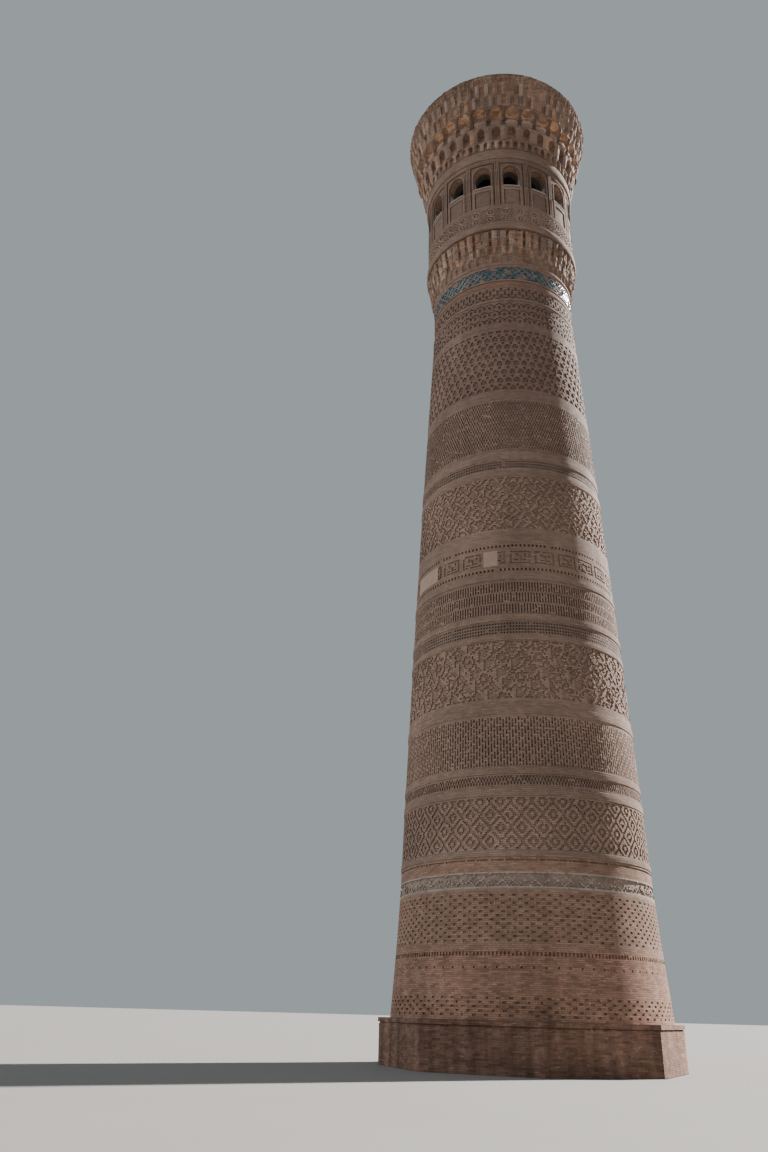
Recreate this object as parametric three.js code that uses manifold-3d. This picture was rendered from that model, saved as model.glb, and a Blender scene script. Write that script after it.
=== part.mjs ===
// A round brick minaret with a windowed gallery, modelled at half its real size.
// Every length below is a real one in metres, and METRE turns it into millimetres of the model.
// The origin is the centre of the plinth's underside, with +Z up.
import * as THREE from 'three';
import { mergeVertices } from 'three/addons/utils/BufferGeometryUtils.js';
import Module from 'manifold-3d';

const wasm = await Module();
wasm.setup();

const METRE = 500;
const WINDOWS = 16;
const SIDES = 2 * WINDOWS;
const GAP = 0.0006;

// Octagonal plinth.
const PLINTH_TOP = 1.52;
const PLINTH_RADIUS = 5.45;
const PLINTH_CORNERS = 8;
const PLINTH_TURN = THREE.MathUtils.degToRad(-7);

// The shaft's outline: its radius falls away faster and faster towards the top, and its lowest metres flare out.
const BASE_RADIUS = 4.905;
const BATTER = 0.0336;
const ENTASIS = 0.00038;
const FLARE = 0.15;
const FLARE_TOP = 6.0;
const FLARE_POWER = 1.5;

// The stair well inside the shaft and the room inside the gallery.
const WELL_RADIUS = 2.0;
const ROOM_RADIUS = 3.02;
const HATCH_RADIUS = 0.7;

// Drums of the shaft, one for each ornament band: where it ends and its mouldings, each [foot, top, projection].
const DRUMS = [
  ['shaft_foot', 3.6, []],
  ['shaft_dotted_band', 5.52, []],
  ['shaft_plaster_band', 6.5, [[5.52, 5.6, 0.03], [6.02, 6.1, 0.04]]],
  ['shaft_lozenge_band', 8.97, [[6.5, 6.7, 0.06], [8.72, 8.97, 0.07]]],
  ['shaft_herringbone_band', 12.08, [[9.37, 9.65, 0.07], [11.78, 12.08, 0.07]]],
  ['shaft_meander_band', 14.75, [[14.5, 14.75, 0.07]]],
  ['shaft_ribbed_band', 17.4, [[15.4, 15.7, 0.08], [17.15, 17.4, 0.07]]],
  ['shaft_panel_band', 19.15, []],
  ['shaft_fret_band', 22.3, [[22.0, 22.3, 0.07]]],
  ['shaft_fine_grid_band', 26.45, [[22.8, 23.15, 0.07]]],
  ['shaft_houndstooth_band', 30.35, []],
  ['shaft_knot_band', 32.97, [[31.62, 31.76, 0.05], [32.75, 32.97, 0.06]]],
];
const MOULDING_BEVEL = 0.04;

// The parts above the shaft, from the glazed band up: [height, radius] along the outline.
const TILE_BAND = [[32.97, 3.42], [33.95, 3.42], [33.98, 3.46], [34.1, 3.46]];
const LOWER_CORNICE_FIRST = [[34.1, 3.42], [34.6, 3.46], [34.62, 3.52], [35.0, 3.56]];
const LOWER_CORNICE_SECOND = [[35.0, 3.58], [35.45, 3.63], [35.47, 3.7], [35.95, 3.74]];
const FOOT_MOULDING = [[35.95, 3.78], [36.05, 3.83], [36.27, 3.83], [36.37, 3.78]];
const GALLERY_BASE = [[36.37, 3.74], [37.42, 3.74]];
const GALLERY_RADIUS = 3.75;
const CROWN_MOULDING = [[40.68, 3.78], [40.8, 3.84], [41.15, 3.86], [41.28, 3.82]];
const CROWN_FIRST = [[41.28, 3.84], [41.8, 3.93]];
const CROWN_SECOND = [[41.8, 3.93], [42.35, 4.02], [42.65, 4.12]];
const CROWN_THIRD = [[42.65, 4.12], [43.3, 4.26], [43.75, 4.38]];
const CROWN_FOURTH = [[43.75, 4.38], [44.4, 4.52], [45.1, 4.7]];
const RIM = [[45.1, 4.76], [45.6, 4.82]];

// Gallery: floor, parapet, piers between the windows and the arches over them.
const FLOOR_TOP = 37.42;
const FLOOR_THICKNESS = 0.3;
const SILL = 38.85;
const SPRINGING = 39.75;
const WINDOW_HALF_WIDTH = 0.4;
const ARCH_RISE = 0.42;
const ARCH_STEPS = 5;

// How far the solid that cuts a window arch reaches below the springing and past the wall's two faces.
const CUT_BELOW = 0.1;
const CUT_BEYOND = 0.5;
const MERGE_DISTANCE = 1e-6;

// Flat roof inside the rim, on the shoulder of the uppermost tier.
const ROOF_FOOT = 44.5;
const ROOF_THICKNESS = 0.4;
const ROOF_RADIUS = 4.0;

const material = (name, colour, roughness) => {
  const made = new THREE.MeshStandardMaterial({ color: colour, roughness, metalness: 0 });
  made.name = name;
  return made;
};
const brick = material('brick', 0x8f6f5b, 0.9);
const wornBrick = material('worn_brick', 0x7a5f4f, 0.95);
const plaster = material('plaster', 0x9a8a80, 0.9);
const glaze = material('glazed_tile', 0x3f7f80, 0.35);
const paving = material('paving_brick', 0x84695a, 0.95);

const minaret = new THREE.Group();

function addPart(name, geometry, look) {
  geometry.scale(METRE, METRE, METRE);
  const mesh = new THREE.Mesh(geometry, look);
  mesh.name = name;
  minaret.add(mesh);
  return mesh;
}

// Turns an outline of [height, radius] points into a ring with the given inner outline.
function ringGeometry(outer, inner) {
  const loop = [...outer, ...[...inner].reverse(), outer[0]];
  const points = loop.map(([height, radius]) => new THREE.Vector2(radius, height));
  return new THREE.LatheGeometry(points, SIDES).rotateX(Math.PI / 2);
}

// The same inner radius from the foot to the top of an outline.
function straightBore(outer, radius) {
  return [[outer[0][0], radius], [outer[outer.length - 1][0], radius]];
}

function shaftRadius(height) {
  const share = Math.max(0, (FLARE_TOP - height) / (FLARE_TOP - PLINTH_TOP));
  return BASE_RADIUS - BATTER * height - ENTASIS * height ** 2 + FLARE * share ** FLARE_POWER;
}

function drumOutline(foot, top, mouldings) {
  const outline = [[foot, shaftRadius(foot)]];
  const add = (height, projection) => {
    if (height > foot && height < top) outline.push([height, shaftRadius(height) + projection]);
  };
  for (const [from, to, projection] of mouldings) {
    add(from, 0);
    add(from + MOULDING_BEVEL / 2, projection);
    add(to - MOULDING_BEVEL / 2, projection);
    add(to, 0);
  }
  outline.push([top, shaftRadius(top)]);
  return outline;
}

function addPlinth() {
  const octagon = new THREE.Shape();
  for (let corner = 0; corner < PLINTH_CORNERS; corner += 1) {
    const angle = PLINTH_TURN - Math.PI / 2 + (2 * Math.PI * corner) / PLINTH_CORNERS;
    const x = PLINTH_RADIUS * Math.cos(angle);
    const y = PLINTH_RADIUS * Math.sin(angle);
    if (corner === 0) octagon.moveTo(x, y);
    else octagon.lineTo(x, y);
  }
  octagon.closePath();
  addPart('plinth', new THREE.ExtrudeGeometry(octagon, { depth: PLINTH_TOP, bevelEnabled: false }), wornBrick);
}

function addShaft() {
  let foot = PLINTH_TOP;
  const looks = { shaft_foot: wornBrick, shaft_plaster_band: plaster };
  for (const [name, top, mouldings] of DRUMS) {
    const outline = drumOutline(foot, top, mouldings);
    addPart(name, ringGeometry(outline, straightBore(outline, WELL_RADIUS)), looks[name] ?? brick);
    foot = top;
  }
  addPart('shaft_tile_band', ringGeometry(TILE_BAND, straightBore(TILE_BAND, WELL_RADIUS)), glaze);
}

function addLowerCornice() {
  const tiers = [
    ['lower_cornice_first_tier', LOWER_CORNICE_FIRST],
    ['lower_cornice_second_tier', LOWER_CORNICE_SECOND],
    ['gallery_foot_moulding', FOOT_MOULDING],
  ];
  for (const [name, outline] of tiers) {
    addPart(name, ringGeometry(outline, straightBore(outline, WELL_RADIUS)), brick);
  }
}

// The base carries the gallery's floor on a ledge and has the room's width above it.
function addGalleryBase() {
  const foot = GALLERY_BASE[0][0];
  const ledge = FLOOR_TOP - FLOOR_THICKNESS;
  const inner = [[foot, WELL_RADIUS], [ledge, WELL_RADIUS], [ledge, ROOM_RADIUS], [FLOOR_TOP, ROOM_RADIUS]];
  addPart('gallery_base', ringGeometry(GALLERY_BASE, inner), brick);
  const floor = [[ledge, ROOM_RADIUS - GAP], [FLOOR_TOP, ROOM_RADIUS - GAP]];
  addPart('gallery_floor', ringGeometry(floor, straightBore(floor, HATCH_RADIUS)), paving);
}

function addParapet() {
  const outline = [[FLOOR_TOP, GALLERY_RADIUS], [SILL, GALLERY_RADIUS]];
  addPart('gallery_parapet', ringGeometry(outline, straightBore(outline, ROOM_RADIUS)), brick);
}

// Where a window's jamb meets a wall face, as [along, across] the window's axis. The face is the flat between
// the ring's corners on the window's axis and on the pier's.
function jambPoint(radius) {
  const halfBay = Math.PI / WINDOWS;
  const fall = Math.tan(halfBay / 2);
  return [radius - WINDOW_HALF_WIDTH * fall, WINDOW_HALF_WIDTH];
}

function turned([along, across], angle) {
  const x = along * Math.cos(angle) - across * Math.sin(angle);
  const y = along * Math.sin(angle) + across * Math.cos(angle);
  return new THREE.Vector2(x, y);
}

// Each pier stands between two windows, whose jambs are parallel to their own axes.
function addPiers() {
  const bay = (2 * Math.PI) / WINDOWS;
  for (let index = 0; index < WINDOWS; index += 1) {
    const before = -Math.PI / 2 + index * bay;
    const after = before + bay;
    const middle = before + bay / 2;
    const [outerAlong, outerAcross] = jambPoint(GALLERY_RADIUS);
    const [innerAlong, innerAcross] = jambPoint(ROOM_RADIUS);
    const plan = new THREE.Shape([
      turned([outerAlong, outerAcross], before),
      turned([GALLERY_RADIUS, 0], middle),
      turned([outerAlong, -outerAcross], after),
      turned([innerAlong, -innerAcross], after),
      turned([ROOM_RADIUS, 0], middle),
      turned([innerAlong, innerAcross], before),
    ]);
    const geometry = new THREE.ExtrudeGeometry(plan, { depth: SPRINGING - SILL, bevelEnabled: false });
    geometry.translate(0, 0, SILL);
    addPart(`gallery_pier_${String(index + 1).padStart(2, '0')}`, geometry, brick);
  }
}

// Half outline of the slightly pointed window arch, from the springing to the crown.
function archPoints() {
  const centre = (ARCH_RISE ** 2 - WINDOW_HALF_WIDTH ** 2) / (2 * WINDOW_HALF_WIDTH);
  const radius = WINDOW_HALF_WIDTH + centre;
  const crown = Math.acos(centre / radius);
  const points = [];
  for (let step = 0; step <= ARCH_STEPS; step += 1) {
    const angle = (crown * step) / ARCH_STEPS;
    points.push([radius * Math.cos(angle) - centre, radius * Math.sin(angle)]);
  }
  return points;
}

// A solid that fills one window's arch right through the wall, lying along +X.
function archCutter() {
  const half = archPoints();
  const shape = new THREE.Shape();
  shape.moveTo(-WINDOW_HALF_WIDTH, -CUT_BELOW);
  shape.lineTo(WINDOW_HALF_WIDTH, -CUT_BELOW);
  for (const [across, rise] of half) shape.lineTo(across, rise);
  for (const [across, rise] of half.slice(0, -1).reverse()) shape.lineTo(-across, rise);
  shape.closePath();
  const start = ROOM_RADIUS - CUT_BEYOND;
  const length = GALLERY_RADIUS - ROOM_RADIUS + 2 * CUT_BEYOND;
  const geometry = new THREE.ExtrudeGeometry(shape, { depth: length, bevelEnabled: false });
  geometry.rotateX(Math.PI / 2).rotateZ(Math.PI / 2).translate(start, 0, SPRINGING);
  return geometry;
}

function toSolid(geometry) {
  const bare = geometry.clone();
  bare.deleteAttribute('normal');
  bare.deleteAttribute('uv');
  const merged = mergeVertices(bare, MERGE_DISTANCE);
  const vertProperties = new Float32Array(merged.attributes.position.array);
  const triVerts = new Uint32Array(merged.index.array);
  return new wasm.Manifold(new wasm.Mesh({ numProp: 3, vertProperties, triVerts }));
}

function toGeometry(solid) {
  const mesh = solid.getMesh();
  const geometry = new THREE.BufferGeometry();
  geometry.setAttribute('position', new THREE.BufferAttribute(new Float32Array(mesh.vertProperties), 3));
  geometry.setIndex(new THREE.BufferAttribute(new Uint32Array(mesh.triVerts), 1));
  return geometry;
}

function addArcade() {
  const top = CROWN_MOULDING[0][0];
  const outline = [[SPRINGING, GALLERY_RADIUS], [top, GALLERY_RADIUS]];
  let arcade = toSolid(ringGeometry(outline, straightBore(outline, ROOM_RADIUS)));
  for (let index = 0; index < WINDOWS; index += 1) {
    const cutter = archCutter().rotateZ(-Math.PI / 2 + (2 * Math.PI * index) / WINDOWS);
    arcade = arcade.subtract(toSolid(cutter));
  }
  addPart('gallery_arcade', toGeometry(arcade), brick);
}

// The crown's upper tier steps back inside to carry the roof, and the rim rises around it.
function addCrown() {
  const tiers = [
    ['crown_moulding', CROWN_MOULDING],
    ['crown_first_tier', CROWN_FIRST],
    ['crown_second_tier', CROWN_SECOND],
    ['crown_third_tier', CROWN_THIRD],
  ];
  for (const [name, outline] of tiers) {
    addPart(name, ringGeometry(outline, straightBore(outline, ROOM_RADIUS)), brick);
  }
  const shoulder = ROOF_RADIUS + GAP;
  const fourthFoot = CROWN_FOURTH[0][0];
  const fourthTop = CROWN_FOURTH[CROWN_FOURTH.length - 1][0];
  const stepped = [
    [fourthFoot, ROOM_RADIUS],
    [ROOF_FOOT, ROOM_RADIUS],
    [ROOF_FOOT, shoulder],
    [fourthTop, shoulder],
  ];
  addPart('crown_fourth_tier', ringGeometry(CROWN_FOURTH, stepped), brick);
  addPart('crown_rim', ringGeometry(RIM, straightBore(RIM, shoulder)), brick);
}

function addRoof() {
  const slab = new THREE.CylinderGeometry(ROOF_RADIUS, ROOF_RADIUS, ROOF_THICKNESS, SIDES);
  slab.rotateX(Math.PI / 2).translate(0, 0, ROOF_FOOT + ROOF_THICKNESS / 2);
  addPart('roof', slab, paving);
}

addPlinth();
addShaft();
addLowerCornice();
addGalleryBase();
addParapet();
addPiers();
addArcade();
addCrown();
addRoof();

export default minaret;
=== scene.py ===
# Dresses the brick minaret: the drums of its shaft, its cornices and its gallery get their bricks, patterns
# and finishes. Lengths are real metres unless a comment says otherwise, and SCALE turns them into the
# model's.
import math
from collections import namedtuple

import bpy
import numpy as np
from mathutils import Matrix, Vector


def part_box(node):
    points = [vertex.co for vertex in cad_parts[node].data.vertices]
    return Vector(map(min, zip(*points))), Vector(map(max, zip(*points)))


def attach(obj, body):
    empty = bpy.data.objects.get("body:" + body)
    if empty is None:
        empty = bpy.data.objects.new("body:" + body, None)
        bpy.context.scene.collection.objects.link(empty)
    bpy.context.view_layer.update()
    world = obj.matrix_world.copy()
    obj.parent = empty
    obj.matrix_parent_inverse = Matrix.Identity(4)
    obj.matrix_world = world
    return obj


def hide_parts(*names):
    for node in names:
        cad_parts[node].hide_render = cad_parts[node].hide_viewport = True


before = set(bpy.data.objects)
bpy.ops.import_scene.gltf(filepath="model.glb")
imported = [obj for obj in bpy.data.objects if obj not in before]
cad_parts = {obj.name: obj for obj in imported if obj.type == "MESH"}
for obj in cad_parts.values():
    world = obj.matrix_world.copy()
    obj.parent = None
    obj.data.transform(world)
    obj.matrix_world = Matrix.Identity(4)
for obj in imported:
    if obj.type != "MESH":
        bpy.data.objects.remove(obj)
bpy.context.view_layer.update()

SCALE = 0.5
WINDOWS = 16
WELL_RADIUS = 2.0
ROOM_RADIUS = 3.02
ROOF_RADIUS = 4.0
GALLERY_RADIUS = 3.75
STRAPWORK_RADIUS = 3.74

# The shaft's outline: its radius at a height, with a flare in its lowest metres.
BASE_RADIUS = 4.905
BATTER = 0.0336
ENTASIS = 0.00038
PLINTH_TOP = 1.52
FLARE = 0.15
FLARE_TOP = 6.0
FLARE_POWER = 1.5

# Octagonal plinth.
PLINTH_RADIUS = 5.45
PLINTH_TURN = math.radians(-7)

# The bed faces of a ring are drawn as this many courses of brick from the outer face to the bore.
BED = 20

# Depths below the outer face that a cell of brickwork can have, and the height of a course.
DEPTHS = np.array([0.0, 0.042, 0.075])
RAISED, RECESSED, DEEP = 0, 1, 2
COURSE = 0.065

# The share of a pattern's sunk cells that mortar and repairs have filled.
FILLED = 0.06

# Points nearer than this, in real metres, are one point.
WELD = 1e-5

# The type of an array of looks' names, which leaves room for the longest.
LOOK_NAME = "<U16"

# The columns of two drums whose patterns follow the angle round the tower.
PANEL_COLUMNS = 324
TILE_COLUMNS = 384

# The plain repairs among the panels: their left and right sides in degrees from the camera's side.
REPAIRS = [(-69.7, -46.6), (-15.5, -7.7)]

# The window frames of the gallery, from the opening outwards: half the width of each line, its height over
# the springing, whether it is arched, and how deep the wall lies beyond it.
SILL = 38.85
SPRINGING = 39.75
ARCADE_TOP = 40.68
FRAME = [(0.4, 0.42, True, 0.1), (0.46, 0.48, True, 0.0), (0.515, 0.54, True, 0.05),
         (0.565, 0.63, False, 0.08), (0.62, 0.685, False, 0.0), (0.68, 0.745, False, 0.05),
         (0.705, 0.77, False, 0.0)]
# The looks of the frame's lines; the deepest is painted darker, painted shade in the hollow with dark mortar,
# and the grooves take the shade brick.
FRAME_LOOKS = ("recess", "brick", "arcade_brick", "shade_brick", "brick", "shade_brick", "brick")
BAY_EDGE = GALLERY_RADIUS * math.sin(math.pi / WINDOWS)
WALL = GALLERY_RADIUS - ROOM_RADIUS
REVEAL = 0.38
WHITENED = SILL + 0.55
ARCH_STEPS = 24

# The camera of the photograph, round the tower's axis.
CAMERA_AZIMUTH = math.radians(-101.25)
CAMERA_DISTANCE = 37.037
CAMERA_EYE = 1.65
CAMERA_YAW = -0.15306
CAMERA_PITCH = 0.44274
CAMERA_ROLL = 0.02695
CAMERA_LENS_MM = 28.8

# The studio: the half width of its floor and how far off its lamps hang, in model metres, and the sky's
# strength.
FLOOR_HALF = 400.0
LAMP_DISTANCE = 60
SKY_STRENGTH = 0.43

SEED = 11
random = np.random.default_rng(SEED)


# Materials

class Finish:
    """A material whose shader is fed by nodes that follow the piece's own coordinates."""

    def __init__(self):
        self.material = bpy.data.materials.new("finish")
        self.material.use_nodes = True
        self.tree = self.material.node_tree
        self.tree.nodes.clear()
        output = self.node("OutputMaterial")
        self.shader = self.node("BsdfPrincipled")
        self.feed(output, {"Surface": self.shader.outputs["BSDF"]})
        self.place = self.node("TexCoord").outputs["Object"]

    def feed(self, node, inputs):
        for key, value in inputs.items():
            if isinstance(value, bpy.types.NodeSocket):
                self.tree.links.new(value, node.inputs[key])
            else:
                node.inputs[key].default_value = value

    def node(self, kind, inputs=None, **settings):
        made = self.tree.nodes.new("ShaderNode" + kind)
        for key, value in settings.items():
            setattr(made, key, value)
        self.feed(made, inputs or {})
        return made

    def noise(self, scale, detail, roughness=0.6, stretch=None):
        where = self.place
        if stretch:
            where = self.node("Mapping", {"Vector": where, "Scale": stretch}).outputs["Vector"]
        inputs = {"Vector": where, "Scale": scale, "Detail": detail, "Roughness": roughness}
        return self.node("TexNoise", inputs).outputs["Fac"]

    def ranged(self, *values):
        """A value that is mapped from a lowest and a highest to two others."""
        names = ("Value", "From Min", "From Max", "To Min", "To Max")
        return self.node("MapRange", dict(zip(names, values))).outputs["Result"]

    def varied(self, value, share, low=0.3, high=0.7):
        """A factor that strays from one by up to share."""
        return self.ranged(value, low, high, 1 - share, 1 + share)

    def math(self, operation, first, second):
        return self.node("Math", {0: first, 1: second}, operation=operation).outputs[0]

    def product(self, value, *factors):
        for factor in factors:
            value = self.math("MULTIPLY", value, factor)
        return value

    def mixed(self, factor, first, second):
        first, second = ((*end, 1.0) if isinstance(end, tuple) else end for end in (first, second))
        return self.node("Mix", {0: factor, 6: first, 7: second}, data_type="RGBA").outputs[2]

    def shaded(self, colour, share):
        """The colour times a grey share, which may be above one."""
        return self.node("VectorMath", {0: colour, 3: share}, operation="SCALE").outputs["Vector"]

    def bricks(self, where, light, dark, joint, joint_size, joint_blur, wide, tall, scale=1.0):
        return self.node("TexBrick", {
            "Vector": where, "Color1": (*light, 1), "Color2": (*dark, 1), "Mortar": (*joint, 1),
            "Scale": scale, "Mortar Size": joint_size, "Mortar Smooth": joint_blur, "Bias": 0.0,
            "Brick Width": wide, "Row Height": tall,
        })

    def finished(self, colour, height, strength, distance, roughness, specular=0.5):
        """The material with its colour, its bump, which is distance model metres high, and its gloss."""
        bump = self.node("Bump", {"Height": height, "Strength": strength, "Distance": distance})
        self.feed(self.shader, {"Base Color": colour, "Normal": bump.outputs["Normal"],
                                "Roughness": roughness, "Specular IOR Level": specular})
        return self.material


PALE_MORTAR = (0.4, 0.29, 0.225)


def masonry(face, joint, patch, bond=4.0, tall=1.0, spread=0.16, wear=0.35, tone=0.16, specks=0.0,
            streaked=0.08, layered=0.09):
    """Brick laid in courses: a brick is bond columns long and tall courses high, and each has its own shade
    within spread. Wear mixes in patches of another colour, tone is how far the wall's shade drifts from place
    to place, specks is how strongly flakes of pale mortar show, streaked how strongly upright streaks do, and
    layered how far courses differ."""
    wall = Finish()
    courses = wall.node("UVMap", uv_map="courses").outputs["UV"]
    light, dark = (tuple(channel * share for channel in face) for share in (1 + spread, 1 - spread))
    bricks = wall.bricks(courses, light, dark, joint, 0.1, 0.4, bond, tall)
    grain = wall.noise(42.0, 3.0)
    blotch = wall.noise(5.0, 5.0, 0.65)
    drift = wall.noise(0.55, 3.0, 0.5)
    streaks = wall.noise(1.0, 3.0, 0.55, (4.5, 4.5, 0.45))
    layers = wall.noise(1.0, 2.0, 0.6, (0.7, 0.7, 22.0))
    colour = wall.mixed(wall.ranged(blotch, 0.5, 0.72, 0.0, wear), bricks.outputs["Color"], patch)
    if specks:
        flakes = wall.noise(5.0, 4.0, 0.7, (1, 1, 3.5))
        colour = wall.mixed(wall.ranged(flakes, 0.62, 0.68, 0.0, specks), colour, PALE_MORTAR)
    shade = wall.product(wall.varied(drift, tone), wall.varied(streaks, streaked),
                         wall.varied(layers, layered), wall.varied(grain, 0.12, 0.25, 0.75))
    height = wall.math("SUBTRACT", wall.product(grain, 0.45), bricks.outputs["Fac"])
    roughness = wall.ranged(blotch, 0.3, 0.7, 0.98, 0.84)
    return wall.finished(wall.shaded(colour, shade), height, 0.8, 0.01, roughness, 0.2)


def paving(light, dark, joint, side):
    """Square bricks laid flat, side real metres across, whose downward faces are painted darker as painted
    shade.
    """
    floor = Finish()
    bricks = floor.bricks(floor.place, light, dark, joint, 0.012, 0.3, side, side, 1 / SCALE)
    blotch, grain = floor.noise(4.0, 5.0, 0.65), floor.noise(50.0, 3.0)
    normal = floor.node("NewGeometry").outputs["True Normal"]
    upright = floor.node("SeparateXYZ", {0: normal}).outputs["Z"]
    # Faces that look down are made darker: painted shade on the underside.
    shade = floor.product(floor.ranged(blotch, 0.3, 0.7, 0.78, 1.15), floor.varied(grain, 0.1),
                          floor.ranged(upright, -0.5, 0.5, 0.15, 1.0))
    height = floor.math("SUBTRACT", floor.product(grain, 0.4), bricks.outputs["Fac"])
    return floor.finished(floor.shaded(bricks.outputs["Color"], shade), height, 0.6, 0.006, 0.92)


def render_coat(face, stain, under, loss):
    """A worn coat of plaster that lets the brick under it show through."""
    coat = Finish()
    clouds, chips, grain = coat.noise(3.0, 6.0, 0.7), coat.noise(14.0, 5.0, 0.7), coat.noise(60.0, 3.0)
    colour = coat.mixed(coat.ranged(clouds, 0.35, 0.65, 0.0, 1.0), face, stain)
    colour = coat.mixed(coat.ranged(chips, 0.56, 0.62, 0.0, loss), colour, under)
    height = coat.math("ADD", coat.product(grain, 0.3), chips)
    return coat.finished(coat.shaded(colour, coat.varied(grain, 0.1)), height, 0.6, 0.006, 0.9, 0.25)


def glaze(light, dark, dust):
    """Glazed tile: its colour runs from light to dark, and dust dulls it in places."""
    tile = Finish()
    pool, grime, crackle = tile.noise(11.0, 4.0), tile.noise(5.0, 5.0, 0.7), tile.noise(70.0, 3.0)
    dusty = tile.ranged(grime, 0.5, 0.66, 0.0, 1.0)
    colour = tile.mixed(tile.ranged(pool, 0.35, 0.65, 0.0, 1.0), light, dark)
    colour = tile.mixed(tile.product(dusty, 0.7), colour, dust)
    return tile.finished(colour, crackle, 0.25, 0.003, tile.ranged(dusty, 0.0, 1.0, 0.22, 0.75))


PATCH = (0.285, 0.198, 0.153)
LOOKS = {
    "brick": masonry((0.226, 0.151, 0.116), (0.193, 0.135, 0.106), PATCH),
    "low_brick": masonry((0.25, 0.148, 0.106), (0.215, 0.145, 0.112), (0.33, 0.215, 0.16), spread=0.24,
                         wear=0.6, specks=0.4),
    "pale_brick": masonry((0.262, 0.174, 0.133), (0.215, 0.15, 0.118), (0.325, 0.23, 0.183)),
    "grey_brick": masonry((0.185, 0.123, 0.095), (0.155, 0.11, 0.087), (0.19, 0.148, 0.118), wear=0.5),
    # A darker copy of brick for the upper drums: painted shade for the weaker light from the floor up there.
    "dark_brick": masonry((0.203, 0.132, 0.103), (0.17, 0.119, 0.096), (0.25, 0.174, 0.139)),
    # Darker copies of brick for sunk cells: painted shade in the hollows, with some dirt.
    "sunk_brick": masonry((0.192, 0.126, 0.096), (0.16, 0.112, 0.09), (0.24, 0.168, 0.13)),
    "sunk_dark": masonry((0.16, 0.103, 0.08), (0.135, 0.094, 0.075), (0.2, 0.138, 0.11)),
    "red_brick": masonry((0.21, 0.12, 0.088), (0.175, 0.115, 0.09), (0.27, 0.165, 0.125)),
    "hood_brick": masonry((0.3, 0.182, 0.125), (0.235, 0.152, 0.112), (0.38, 0.265, 0.2), spread=0.3,
                          wear=0.7, tone=0.28, streaked=0.25, layered=0.0),
    "ochre_brick": masonry((0.46, 0.262, 0.155), (0.28, 0.17, 0.11), (0.56, 0.4, 0.29), spread=0.4, wear=0.8,
                           tone=0.3, streaked=0.2, layered=0.0),
    "shade_brick": masonry((0.15, 0.092, 0.068), (0.12, 0.08, 0.062), (0.2, 0.13, 0.098), spread=0.2),
    "worn_brick": masonry((0.245, 0.135, 0.093), (0.21, 0.14, 0.106), (0.33, 0.2, 0.14), spread=0.3, wear=0.8,
                          tone=0.22, specks=0.8),
    "plinth_brick": masonry((0.17, 0.092, 0.064), (0.15, 0.098, 0.074), (0.26, 0.16, 0.12), spread=0.3,
                            wear=0.8, tone=0.25, specks=0.5, streaked=0.35),
    "arcade_brick": masonry((0.183, 0.124, 0.095), (0.16, 0.112, 0.087), (0.24, 0.168, 0.131)),
    # Dark brick for the bores and the inside of the gallery: painted shade where little light reaches.
    "inner_brick": masonry((0.1, 0.085, 0.07), (0.085, 0.073, 0.06), (0.12, 0.1, 0.085)),
    "block_brick": masonry((0.34, 0.24, 0.19), (0.27, 0.19, 0.15), (0.42, 0.31, 0.25), spread=0.25, wear=0.6,
                           tone=0.25, layered=0.0),
    # Darker brick and mortar for the floors of holes and the deepest line of the window frames: painted shade
    # in the hollows, with dark mortar.
    "recess": masonry((0.155, 0.09, 0.066), (0.14, 0.09, 0.068), (0.19, 0.12, 0.09)),
    "rim_brick": masonry((0.2, 0.126, 0.09), (0.12, 0.082, 0.06), PATCH, bond=1.1, tall=4.0, spread=0.3,
                         tone=0.25),
    "paving_brick": paving((0.36, 0.24, 0.18), (0.28, 0.19, 0.145), (0.2, 0.15, 0.12), 0.26),
    "plaster": render_coat((0.27, 0.2, 0.16), (0.2, 0.148, 0.12), (0.19, 0.122, 0.09), 0.8),
    "repair": render_coat((0.35, 0.245, 0.195), (0.31, 0.215, 0.17), (0.28, 0.19, 0.15), 0.3),
    "white_line": render_coat((0.37, 0.31, 0.265), (0.26, 0.2, 0.165), (0.2, 0.135, 0.1), 0.95),
    "sill": render_coat((0.42, 0.4, 0.385), (0.34, 0.32, 0.31), (0.25, 0.2, 0.165), 0.4),
    "tile": glaze((0.08, 0.128, 0.136), (0.055, 0.09, 0.102), (0.17, 0.145, 0.125)),
    "dark_tile": glaze((0.05, 0.084, 0.096), (0.038, 0.055, 0.063), (0.13, 0.115, 0.1)),
    "tile_ground": render_coat((0.24, 0.225, 0.21), (0.165, 0.155, 0.142), (0.09, 0.11, 0.115), 0.7),
}
for look_name, look_material in LOOKS.items():
    look_material.name = look_name

# The looks of a zone's sunk cells, where a pattern doesn't paint them: darker copies of the zone's brick,
# painted shade in the hollows with some dirt.
SUNK_LOOKS = {"brick": "sunk_brick", "pale_brick": "brick", "dark_brick": "sunk_dark",
              "grey_brick": "sunk_dark"}


# Meshes

def shaft_radius(height):
    share = np.maximum(0, (FLARE_TOP - height) / (FLARE_TOP - PLINTH_TOP))
    return BASE_RADIUS - BATTER * height - ENTASIS * height**2 + FLARE * share**FLARE_POWER


def turn_at(place, count):
    """The angle of a place where count of them go round the tower."""
    return -math.pi / 2 + 2 * math.pi * place / count


def ring_points(radius, turn, height):
    return np.stack(np.broadcast_arrays(radius * np.cos(turn), radius * np.sin(turn), height), -1)


def put_in_scene(name, data):
    made = bpy.data.objects.new(name, data)
    bpy.context.scene.collection.objects.link(made)
    return made


# The corners of a cell: how many rows up and columns on from its own.
CORNERS = ((0, 0), (0, 1), (1, 1), (1, 0))


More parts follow.
